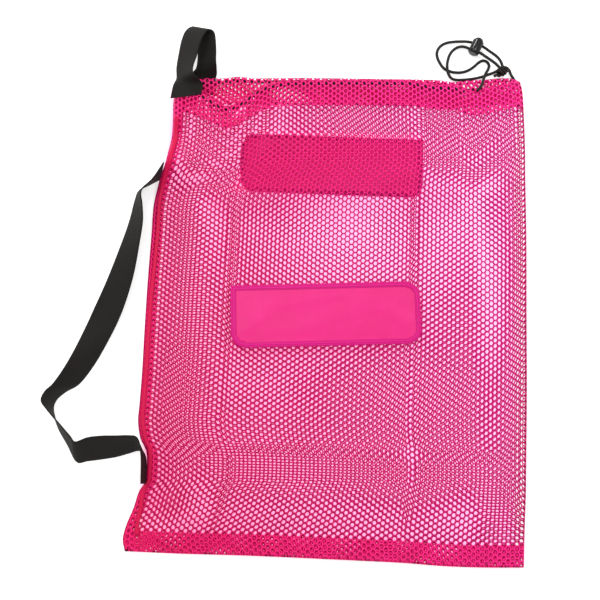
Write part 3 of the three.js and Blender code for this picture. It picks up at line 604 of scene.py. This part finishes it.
def ribbon(route, steps):
    """A flat strip between two edge curves, evenly stepped along its length, and its length."""
    edges = [follow(list(enumerate(column))) for column in zip(*route)]
    fine = np.linspace(0, len(route) - 1, ROW_SAMPLES * len(route))
    middle = np.stack([(edges[i](fine) + edges[i + 3](fine)) / 2 for i in range(3)], axis=-1)
    along = np.concatenate(([0], np.cumsum(np.linalg.norm(np.diff(middle, axis=0), axis=1))))

    def place(t, s, h):
        at = np.interp((t + 0.5) * along[-1], along, fine)
        one = np.stack([edges[i](at) for i in range(3)], axis=-1)
        other = np.stack([edges[i + 3](at) for i in range(3)], axis=-1)
        point = one + (other - one) * (s[:, None] + 0.5)
        point[:, 2] = np.maximum(point[:, 2], WEB_LOWEST)
        return to_frame(point)

    bm = bmesh.new()
    uv_layer = bm.loops.layers.uv.new("weave_mm")
    bmesh.ops.create_grid(bm, x_segments=steps, y_segments=CELLS_ACROSS, size=0.5)
    for face in bm.faces:
        for loop in face.loops:
            x, y, _ = loop.vert.co
            loop[uv_layer].uv = ((x + 0.5) * along[-1], (y + 0.5) * WEB_MM)
    return bm, place, along[-1]


for web_node, route, steps in (("carry_strap", STRAP_ROUTE, 150), ("hang_loop", LOOP_ROUTE, 80)):
    bm, place, web_length = ribbon(route, steps)
    web = add_piece(web_node + "_webbing", bm, place, web_material)
    solid = web.modifiers.new("thickness", "SOLIDIFY")
    solid.thickness = WEB_THICK / 1000
    solid.offset = 0
    rounded = web.modifiers.new("selvedge", "BEVEL")
    rounded.width = SELVEDGE / 1000
    rounded.segments = 2
    rounded.angle_limit = math.radians(50)
    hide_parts(web_node)


# Side tape: a narrow woven tape sewn along the left seam, over the cut edges of the net.
TAPE_MM, TAPE_FROM, TAPE_TO = 4.4, -296, 204
TAPE_LIFT, TAPE_CROWN, TAPE_THICK = 1.1, 0.4, 1.0

# Woven tape: red pink, matt, with a fine grain and a faint painted pink glow.
TAPE_GRAINS_PER_M = 900
tape_material, tree = new_material("red_pink_woven_tape")
where = add_node(tree, "ShaderNodeTexCoord", {})
grain = add_node(tree, "ShaderNodeTexNoise", {
    "Vector": where.outputs["Object"], "Scale": TAPE_GRAINS_PER_M, "Detail": 2})
tape_colour = add_node(tree, "ShaderNodeMix", {
    "Factor": grain.outputs["Fac"], "A": linear("#b00038"), "B": linear("#d0084a")}, data_type="RGBA")
tape_bump = add_node(tree, "ShaderNodeBump", {
    "Height": grain.outputs["Fac"], "Strength": 0.4, "Distance": 0.0003})
# A faint pink glow is painted into the tape.
finish_material(tree, add_node(tree, "ShaderNodeBsdfPrincipled", {
    "Base Color": tape_colour.outputs["Result"], "Roughness": 0.6, "Specular IOR Level": 0.2,
    "Normal": tape_bump.outputs[0], "Emission Color": linear("#ff0060"), "Emission Strength": 0.03}))


def on_seam(t, s, h):
    """Points of the tape, t along the seam and s across it."""
    y = TAPE_FROM + (TAPE_TO - TAPE_FROM) * (t + 0.5)
    x = left_edge(y) + seam_inset(y) + s * TAPE_MM
    _, top = heights(x, y, front_rim)
    return to_frame(np.stack((x, y, top + TAPE_LIFT + TAPE_CROWN * (1 - (2 * s) ** 2)), axis=-1))


bm = bmesh.new()
bmesh.ops.create_grid(bm, x_segments=160, y_segments=4, size=0.5)
tape = add_piece("side_tape_woven", bm, on_seam, tape_material)
solid = tape.modifiers.new("thickness", "SOLIDIFY")
solid.thickness = TAPE_THICK / 1000
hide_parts("side_tape")


# Patches: coated nylon cloth, slightly puckered, with a 6.5 mm binding tape sewn round the edge. The front
# one lies on the front panel and the back one under the back panel. Each has one square corner.
PATCH_W, PATCH_H, PATCH_CORNER, BINDING = 224, 75, 18, 6.5
FIELD_MARGIN = BINDING - 1  # the cloth reaches under its binding
PATCH_THICK, PATCH_GAP, CLOTH_THICK, GRID_MM = 2.5, 0.3, 0.6, 3.5
FIELD_LEVEL, FIELD_CROWN, CROWN_EASE, PUCKER_EASE, CROWN_MOST = 1.0, 0.5, 14, 8, 0.9
# Columns: from x, from y, to x, to y, height, width
PUCKERS = [
    (-80, 8, 20, 26, 0.9, 5), (-30, -14, 60, 12, 0.8, 6), (40, 18, 96, -10, 0.9, 5),
    (-96, -16, -60, 12, 0.7, 5),
]

# Coated nylon: bright pink plain weave with a soft gloss from the coating, and a painted pink glow that lifts
# its shade.
CHECKS_PER_M, CLOUDS_PER_M = 1250, 38
patch_material, tree = new_material("pink_coated_nylon")
where = add_node(tree, "ShaderNodeTexCoord", {})
weave = add_node(tree, "ShaderNodeTexChecker", {"Vector": where.outputs["Object"], "Scale": CHECKS_PER_M})
cloud = add_node(tree, "ShaderNodeTexNoise", {
    "Vector": where.outputs["Object"], "Scale": CLOUDS_PER_M, "Detail": 3})
patch_colour = add_node(tree, "ShaderNodeMix", {
    "Factor": cloud.outputs["Fac"], "A": linear("#b40a5c"), "B": linear("#c81674")}, data_type="RGBA")
patch_bump = add_node(tree, "ShaderNodeBump", {
    "Height": weave.outputs["Fac"], "Strength": 0.25, "Distance": 0.0002})
# A pink glow is painted into the cloth, lifting the shade on the back patch under the two nets.
finish_material(tree, add_node(tree, "ShaderNodeBsdfPrincipled", {
    "Base Color": patch_colour.outputs["Result"], "Roughness": 0.42, "Specular IOR Level": 0.25,
    "Normal": patch_bump.outputs[0], "Emission Color": linear("#ff1080"), "Emission Strength": 0.2}))

# Binding tape: woven polyester, magenta, finely ribbed, with painted shade in its stitched grooves.
BINDING_RIBS_PER_M = 1100
binding_material, tree = new_material("magenta_binding_tape")
where = add_node(tree, "ShaderNodeTexCoord", {})
rib = add_node(tree, "ShaderNodeTexNoise", {
    "Vector": where.outputs["Object"], "Scale": BINDING_RIBS_PER_M, "Detail": 2})
groove_painted_shade = add_node(tree, "ShaderNodeAttribute", {}, attribute_name="groove_painted_shade")
rib_colour = add_node(tree, "ShaderNodeMix", {
    "Factor": rib.outputs["Fac"], "A": linear("#c40474"), "B": linear("#dc0a8a")}, data_type="RGBA")
# The stitched grooves are painted darker: painted shade where the binding dips.
binding_colour = add_node(tree, "ShaderNodeMix", {
    "Factor": groove_painted_shade.outputs["Fac"], "A": rib_colour.outputs["Result"], "B": linear("#9c0250")},
    data_type="RGBA")
binding_bump = add_node(tree, "ShaderNodeBump", {
    "Height": rib.outputs["Fac"], "Strength": 0.4, "Distance": 0.0003})
finish_material(tree, add_node(tree, "ShaderNodeBsdfPrincipled", {
    "Base Color": binding_colour.outputs["Result"], "Roughness": 0.5, "Specular IOR Level": 0.2,
    "Normal": binding_bump.outputs[0]}))

# Sewing thread: polyester, a deeper pink than the cloth, with a soft gloss.
thread_material, tree = new_material("pink_polyester_thread")
finish_material(tree, add_node(tree, "ShaderNodeBsdfPrincipled", {
    "Base Color": linear("#cc0b66"), "Roughness": 0.4, "Specular IOR Level": 0.3}))


def patch_outline(margin):
    """A flat sheet with the patch's outline, taken in by a margin."""
    bm = bmesh.new()
    bmesh.ops.create_grid(bm, x_segments=1, y_segments=1, size=0.5)
    bmesh.ops.scale(bm, verts=bm.verts, vec=(PATCH_W - 2 * margin, PATCH_H - 2 * margin, 1))
    rounded = [v for v in bm.verts if not (v.co.x < 0 and v.co.y > 0)]
    bmesh.ops.bevel(bm, geom=rounded, offset=PATCH_CORNER - margin, segments=8, profile=0.5,
                    affect="VERTICES", material=-1)
    return bm


def cut_into_grid(bm, step):
    """Cuts a flat sheet along a square grid so that it can pucker."""
    for axis, reach in ((Vector((1, 0, 0)), PATCH_W / 2), (Vector((0, 1, 0)), PATCH_H / 2)):
        for k in range(math.ceil(-reach / step), math.floor(reach / step) + 1):
            bmesh.ops.bisect_plane(bm, geom=bm.verts[:] + bm.edges[:] + bm.faces[:], plane_co=axis * step * k,
                                   plane_no=axis, dist=0.001)


def from_edge(x, y):
    """Distance of a point of the patch from its outline."""
    near_x, near_y = PATCH_W / 2 - abs(x), PATCH_H / 2 - abs(y)
    if max(near_x, near_y) < PATCH_CORNER and not (x < 0 and y > 0):
        return PATCH_CORNER - math.hypot(PATCH_CORNER - near_x, PATCH_CORNER - near_y)
    return min(near_x, near_y)


# Height of the binding over its width: a rolled outer edge, two stitched grooves and a turned inner edge.
# Columns: distance from the outline, height
binding_roll = follow([
    (0, 0.7), (0.6, 1.5), (1.6, 1.9), (2.3, 1.45), (3, 1.95), (4.4, 2.0), (5.2, 1.4), (5.8, 1.7), (6.5, 1.2)])
STITCH_LINES, GROOVE_MM = (2.3, 5.2), 0.45
# Columns: distance from the outline, pitch, half length, slant in degrees of every other stitch
STITCHES = [(line, 3.1, 1.25, 0) for line in STITCH_LINES] + [(-0.3, 2.3, 1.5, 52)]
THREAD_WIDE, THREAD_HIGH, THREAD_LIFT = 0.42, 0.35, 0.1

for side, cx, cy, floor_mm, turn, mirrored in (
        ("front", FRONT_PATCH_X, FRONT_PATCH_Y, BODY_HEIGHT + PATCH_GAP, 1.4, False),
        ("back", BACK_PATCH_X, BACK_PATCH_Y, 0, -2.2, True)):
    cos, sin = math.cos(math.radians(turn)), math.sin(math.radians(turn))

    def lay(x, y, h):
        """A flat patch's point on the bag."""
        x, h = (-x, PATCH_THICK - h) if mirrored else (x, h)
        return to_frame(np.stack((cx + x * cos - y * sin, cy + x * sin + y * cos, floor_mm + h), axis=-1))

    bm = patch_outline(FIELD_MARGIN)
    cut_into_grid(bm, GRID_MM)
    for v in bm.verts:
        x, y = v.co.x, v.co.y
        edge = from_edge(x, y) - BINDING
        crown = FIELD_CROWN * float(ease(edge / CROWN_EASE))
        for x0, y0, x1, y1, crest, width in PUCKERS:
            t = ((x - x0) * (x1 - x0) + (y - y0) * (y1 - y0)) / ((x1 - x0) ** 2 + (y1 - y0) ** 2)
            t = min(1, max(0, t))
            off = math.hypot(x - x0 - t * (x1 - x0), y - y0 - t * (y1 - y0)) / width
            crown += crest * math.exp(-off * off) * float(ease(edge / PUCKER_EASE))
        v.co.z = FIELD_LEVEL + min(crown, CROWN_MOST)
    field = add_piece(side + "_patch_cloth", bm, lay, patch_material)
    solid = field.modifiers.new("thickness", "SOLIDIFY")
    solid.thickness = CLOTH_THICK / 1000
    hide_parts(side + "_patch")

    bm = patch_outline(0)
    inner = bm.faces[:]
    bmesh.ops.inset_individual(bm, faces=inner, thickness=BINDING, use_even_offset=True)
    bmesh.ops.delete(bm, geom=inner, context="FACES")
    bmesh.ops.subdivide_edges(bm, edges=[e for e in bm.edges if not e.is_boundary], cuts=12)
    groove_painted_shade_layer = bm.verts.layers.float.new("groove_painted_shade")
    for v in bm.verts:
        edge = from_edge(v.co.x, v.co.y)
        v.co.z = float(binding_roll(edge))
        # The painted shade is strongest on the stitch lines.
        v[groove_painted_shade_layer] = max(math.exp(-((edge - line) / GROOVE_MM) ** 2) for line in STITCH_LINES)
    tape = add_piece(side + "_patch_tape", bm, lay, binding_material)
    solid = tape.modifiers.new("thickness", "SOLIDIFY")
    solid.thickness = CLOTH_THICK / 1000
    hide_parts(side + "_patch_binding")

    bm = bmesh.new()
    for margin, pitch, reach, slant in STITCHES:
        outline = patch_outline(margin)
        corners = [v.co.copy() for v in outline.faces[:][0].verts]
        outline.free()
        left_over = pitch / 2
        for start, end in zip(corners, corners[1:] + corners[:1]):
            along = end - start
            while left_over < along.length:
                at = start + along.normalized() * left_over
                slant = -slant
                turned = Matrix.Rotation(math.radians(slant), 3, "Z") @ along
                bmesh.ops.create_uvsphere(bm, u_segments=6, v_segments=4, radius=1, matrix=Matrix.LocRotScale(
                    Vector((at.x, at.y, float(binding_roll(margin)) + THREAD_LIFT)),
                    turned.to_track_quat("X", "Z"), Vector((reach, THREAD_WIDE, THREAD_HIGH))))
                left_over += pitch
            left_over -= along.length
    add_piece(side + "_patch_stitches", bm, lay, thread_material)


# End knot: both cord ends are tied together in a barrel knot, three tight turns of the same cord.
KNOT_AT, KNOT_TURN, KNOT_TURNS = (270.4, 268.4, 11), 38, 3
KNOT_HALF, KNOT_START = 5.4, -2.2
KNOT_RADIUS, KNOT_SWELL, KNOT_TAPER = 3.0, 1.6, 1.3  # thickest in its middle
knot_axis = np.array((math.cos(math.radians(KNOT_TURN)), math.sin(math.radians(KNOT_TURN)), 0))
knot_side = np.array((-knot_axis[1], knot_axis[0], 0))
turn_angle = np.linspace(0, 2 * np.pi * KNOT_TURNS, 12 * KNOT_TURNS + 1) + KNOT_START
along = np.linspace(-KNOT_HALF, KNOT_HALF, len(turn_angle))
swell = KNOT_RADIUS + KNOT_SWELL * np.cos(along / KNOT_HALF * KNOT_TAPER)
coil = (np.array(KNOT_AT) + np.outer(along, knot_axis) + np.outer(swell * np.cos(turn_angle), knot_side)
        + np.outer(swell * np.sin(turn_angle), (0, 0, 1)))
# From the cut tail through the turns, then back over them in one slanting pass
tail = [(260.4, 262.4, 8.2), (262.6, 264, 9)]
pass_over = [np.array(KNOT_AT) + a * knot_axis + b * knot_side + (0, 0, c)
             for a, b, c in ((6.2, -2.6, 1.5), (3.4, 0.6, 5.6), (-0.5, 3.4, 4.6), (-4, 3.6, 1))]
knot, _ = add_cord("end_knot_turns", to_frame(np.concatenate((tail, coil, pass_over))))
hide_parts("end_knot")


# Cord lock: a moulded nylon barrel with a slot for both cords, and a sprung button that slides in it.
LOCK_AT, LOCK_TURN = (241.1, 306, 7.55), 64
LOCK_STEPS = 48
BARREL_WALL, BUTTON_WALL, MOULDED_EDGE = 1.6, 1.2, 0.25
# Columns: radius, distance along the barrel from its centre
BARREL = [
    (0.05, -14), (4.2, -14), (5.6, -13.7), (6.6, -12.8), (7.1, -11.4), (7.25, -9.8), (7.25, 3.2), (7.15, 4),
    (6.9, 4.5), (6.5, 4.7), (5.6, 4.7), (5.4, 4.4), (5.4, 1.5),
]
BUTTON = [
    (4.95, 2.0), (4.95, 6.7), (4.75, 7.4), (4.3, 7.85), (3.7, 8.05), (2.2, 8.0), (1.8, 7.8), (0.05, 7.75),
]

# Moulded nylon: near black, satin, with a faint spark-eroded grain.
LOCK_GRAINS_PER_M = 1600
lock_material, tree = new_material("black_moulded_nylon")
where = add_node(tree, "ShaderNodeTexCoord", {})
grain = add_node(tree, "ShaderNodeTexNoise", {
    "Vector": where.outputs["Object"], "Scale": LOCK_GRAINS_PER_M, "Detail": 2})
lock_bump = add_node(tree, "ShaderNodeBump", {
    "Height": grain.outputs["Fac"], "Strength": 0.03, "Distance": 0.0002})
lock_rough = add_node(tree, "ShaderNodeMapRange", {
    "Value": grain.outputs["Fac"], "To Min": 0.12, "To Max": 0.18})
finish_material(tree, add_node(tree, "ShaderNodeBsdfPrincipled", {
    "Base Color": linear("#070706"), "Roughness": lock_rough.outputs[0], "Specular IOR Level": 0.4,
    "Normal": lock_bump.outputs[0]}))


def spun(profile):
    """A profile turned about the barrel's axis."""
    bm = bmesh.new()
    corners = [bm.verts.new((radius, along, 0)) for radius, along in profile]
    edges = [bm.edges.new(pair) for pair in zip(corners, corners[1:])]
    bmesh.ops.spin(bm, geom=corners + edges, cent=(0, 0, 0), axis=(0, 1, 0), dvec=(0, 0, 0),
                   angle=2 * math.pi, steps=LOCK_STEPS, use_merge=True)
    bmesh.ops.remove_doubles(bm, verts=bm.verts, dist=0.02)
    bmesh.ops.recalc_face_normals(bm, faces=bm.faces)
    return bm


def lay_lock(x, y, z):
    """The lock lies on its side on the table."""
    turn = math.radians(LOCK_TURN - 90)
    cos, sin = math.cos(turn), math.sin(turn)
    return to_frame(np.stack((
        LOCK_AT[0] + x * cos - y * sin, LOCK_AT[1] + x * sin + y * cos, LOCK_AT[2] + z), axis=-1))


bm = spun(BARREL)
SLOT_FROM, SLOT_TO, SLOT_HALF, SLOT_OUTSIDE = -11.5, 2.7, 2.4, 6
for at_mm in (SLOT_FROM, SLOT_TO):
    bmesh.ops.bisect_plane(bm, geom=bm.verts[:] + bm.edges[:] + bm.faces[:], plane_co=(0, at_mm, 0),
                           plane_no=(0, 1, 0), dist=0.01)
slot_faces = [f for f in bm.faces if SLOT_FROM < f.calc_center_median().y < SLOT_TO
              and abs(f.calc_center_median().z) < SLOT_HALF
              and math.hypot(*f.calc_center_median().xz) > SLOT_OUTSIDE]
bmesh.ops.delete(bm, geom=slot_faces, context="FACES")
barrel = add_piece("cord_lock_barrel_moulded", bm, lay_lock, lock_material)
wall = barrel.modifiers.new("wall", "SOLIDIFY")
wall.thickness = BARREL_WALL / 1000
edge = barrel.modifiers.new("moulded_edges", "BEVEL")
edge.width = MOULDED_EDGE / 1000
edge.segments = 2
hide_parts("cord_lock_barrel")

# The button's skirt is open where the cords cross it.
NOTCH_TO, NOTCH_HALF = 6.2, 3.2
bm = spun(BUTTON)
bmesh.ops.bisect_plane(bm, geom=bm.verts[:] + bm.edges[:] + bm.faces[:], plane_co=(0, NOTCH_TO, 0),
                       plane_no=(0, 1, 0), dist=0.01)
notch_faces = [f for f in bm.faces if f.calc_center_median().y < NOTCH_TO
               and abs(f.calc_center_median().z) < NOTCH_HALF]
bmesh.ops.delete(bm, geom=notch_faces, context="FACES")
button = add_piece("cord_lock_button_moulded", bm, lay_lock, lock_material, body="lock_button")
wall = button.modifiers.new("wall", "SOLIDIFY")
wall.thickness = BUTTON_WALL / 1000
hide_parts("cord_lock_button")


# Table and light: a white table that fills the view, under a bright white tent with three soft boxes.
TABLE_HALF_M = 6
bm = bmesh.new()
bmesh.ops.create_grid(bm, x_segments=1, y_segments=1, size=TABLE_HALF_M)
table_mesh = bpy.data.meshes.new("white_table")
bm.to_mesh(table_mesh)
bm.free()
table = bpy.data.objects.new("white_table", table_mesh)
bpy.context.scene.collection.objects.link(table)
# White laminate, lit through from below. Under the bag its glow and colour are painted pink, its glow
# brighter in red, a painted stand-in for the light that comes through the net, which also lifts the bag's
# shade on it.
BAG_MIDDLE, BAG_HALF, BAG_TURN = (0.052, -0.042, 0), (0.224, 0.286, 1), -2.6
table_material, tree = new_material("white_laminate")
where = add_node(tree, "ShaderNodeTexCoord", {})
on_bag = add_node(tree, "ShaderNodeMapping", {
    "Vector": where.outputs["Object"], "Location": BAG_MIDDLE, "Rotation": (0, 0, math.radians(BAG_TURN)),
    "Scale": BAG_HALF}, vector_type="TEXTURE")
from_middle = add_node(tree, "ShaderNodeVectorMath", {0: on_bag.outputs[0]}, operation="ABSOLUTE")
sides = add_node(tree, "ShaderNodeSeparateXYZ", {"Vector": from_middle.outputs[0]})
farthest = add_node(tree, "ShaderNodeMath", {
    0: sides.outputs["X"], 1: sides.outputs["Y"]}, operation="MAXIMUM")
under_bag = add_node(tree, "ShaderNodeMapRange", {
    "Value": farthest.outputs[0], "From Min": 1.0, "From Max": 0.93}, interpolation_type="SMOOTHSTEP")
across_bag = add_node(tree, "ShaderNodeVectorMath", {
    0: on_bag.outputs[0], 1: (0.6, 0.4, 0)}, operation="DOT_PRODUCT")
up_bag = add_node(tree, "ShaderNodeMapRange", {
    "Value": across_bag.outputs["Value"], "From Min": -0.8, "From Max": 0.6})
# Under the bag the glow is painted pink, redder toward the lower left.
painted_pink_light = add_node(tree, "ShaderNodeMix", {
    "Factor": up_bag.outputs[0], "A": (0.85, 0.14, 0.36, 1), "B": (0.88, 0.46, 0.78, 1)}, data_type="RGBA")
glow = add_node(tree, "ShaderNodeMix", {
    "Factor": under_bag.outputs[0], "A": (0.62, 0.62, 0.62, 1), "B": painted_pink_light.outputs["Result"]},
    data_type="RGBA")
# Under the bag the table's own colour is painted pink as well.
painted_pink_base = add_node(tree, "ShaderNodeMix", {
    "Factor": under_bag.outputs[0], "A": (0.6, 0.6, 0.6, 1), "B": (0.6, 0.42, 0.54, 1)}, data_type="RGBA")
finish_material(tree, add_node(tree, "ShaderNodeBsdfPrincipled", {
    "Base Color": painted_pink_base.outputs["Result"], "Roughness": 0.7, "Emission Color": glow.outputs["Result"],
    "Emission Strength": 1.0}))
table_mesh.materials.append(table_material)

TENT = 0.78
world = bpy.data.worlds.new("white_tent")
bpy.context.scene.world = world
world.use_nodes = True
world.node_tree.nodes["Background"].inputs["Color"].default_value = (1, 1, 1, 1)
world.node_tree.nodes["Background"].inputs["Strength"].default_value = TENT
# Columns: name, place in metres, size, power
for name, place, size, power in (
        ("soft_box", (0.7, 0.5, 1.5), 0.35, 7.0), ("fill", (-0.4, 0.4, 1.6), 0.6, 9.0),
        ("rim", (-0.38, 1.42, 1.0), 0.3, 6.0)):
    light = bpy.data.objects.new(name, bpy.data.lights.new(name, "AREA"))
    light.data.size = size
    light.data.energy = power
    light.location = place
    light.rotation_euler = (-Vector(place)).to_track_quat("-Z", "Y").to_euler()
    bpy.context.scene.collection.objects.link(light)
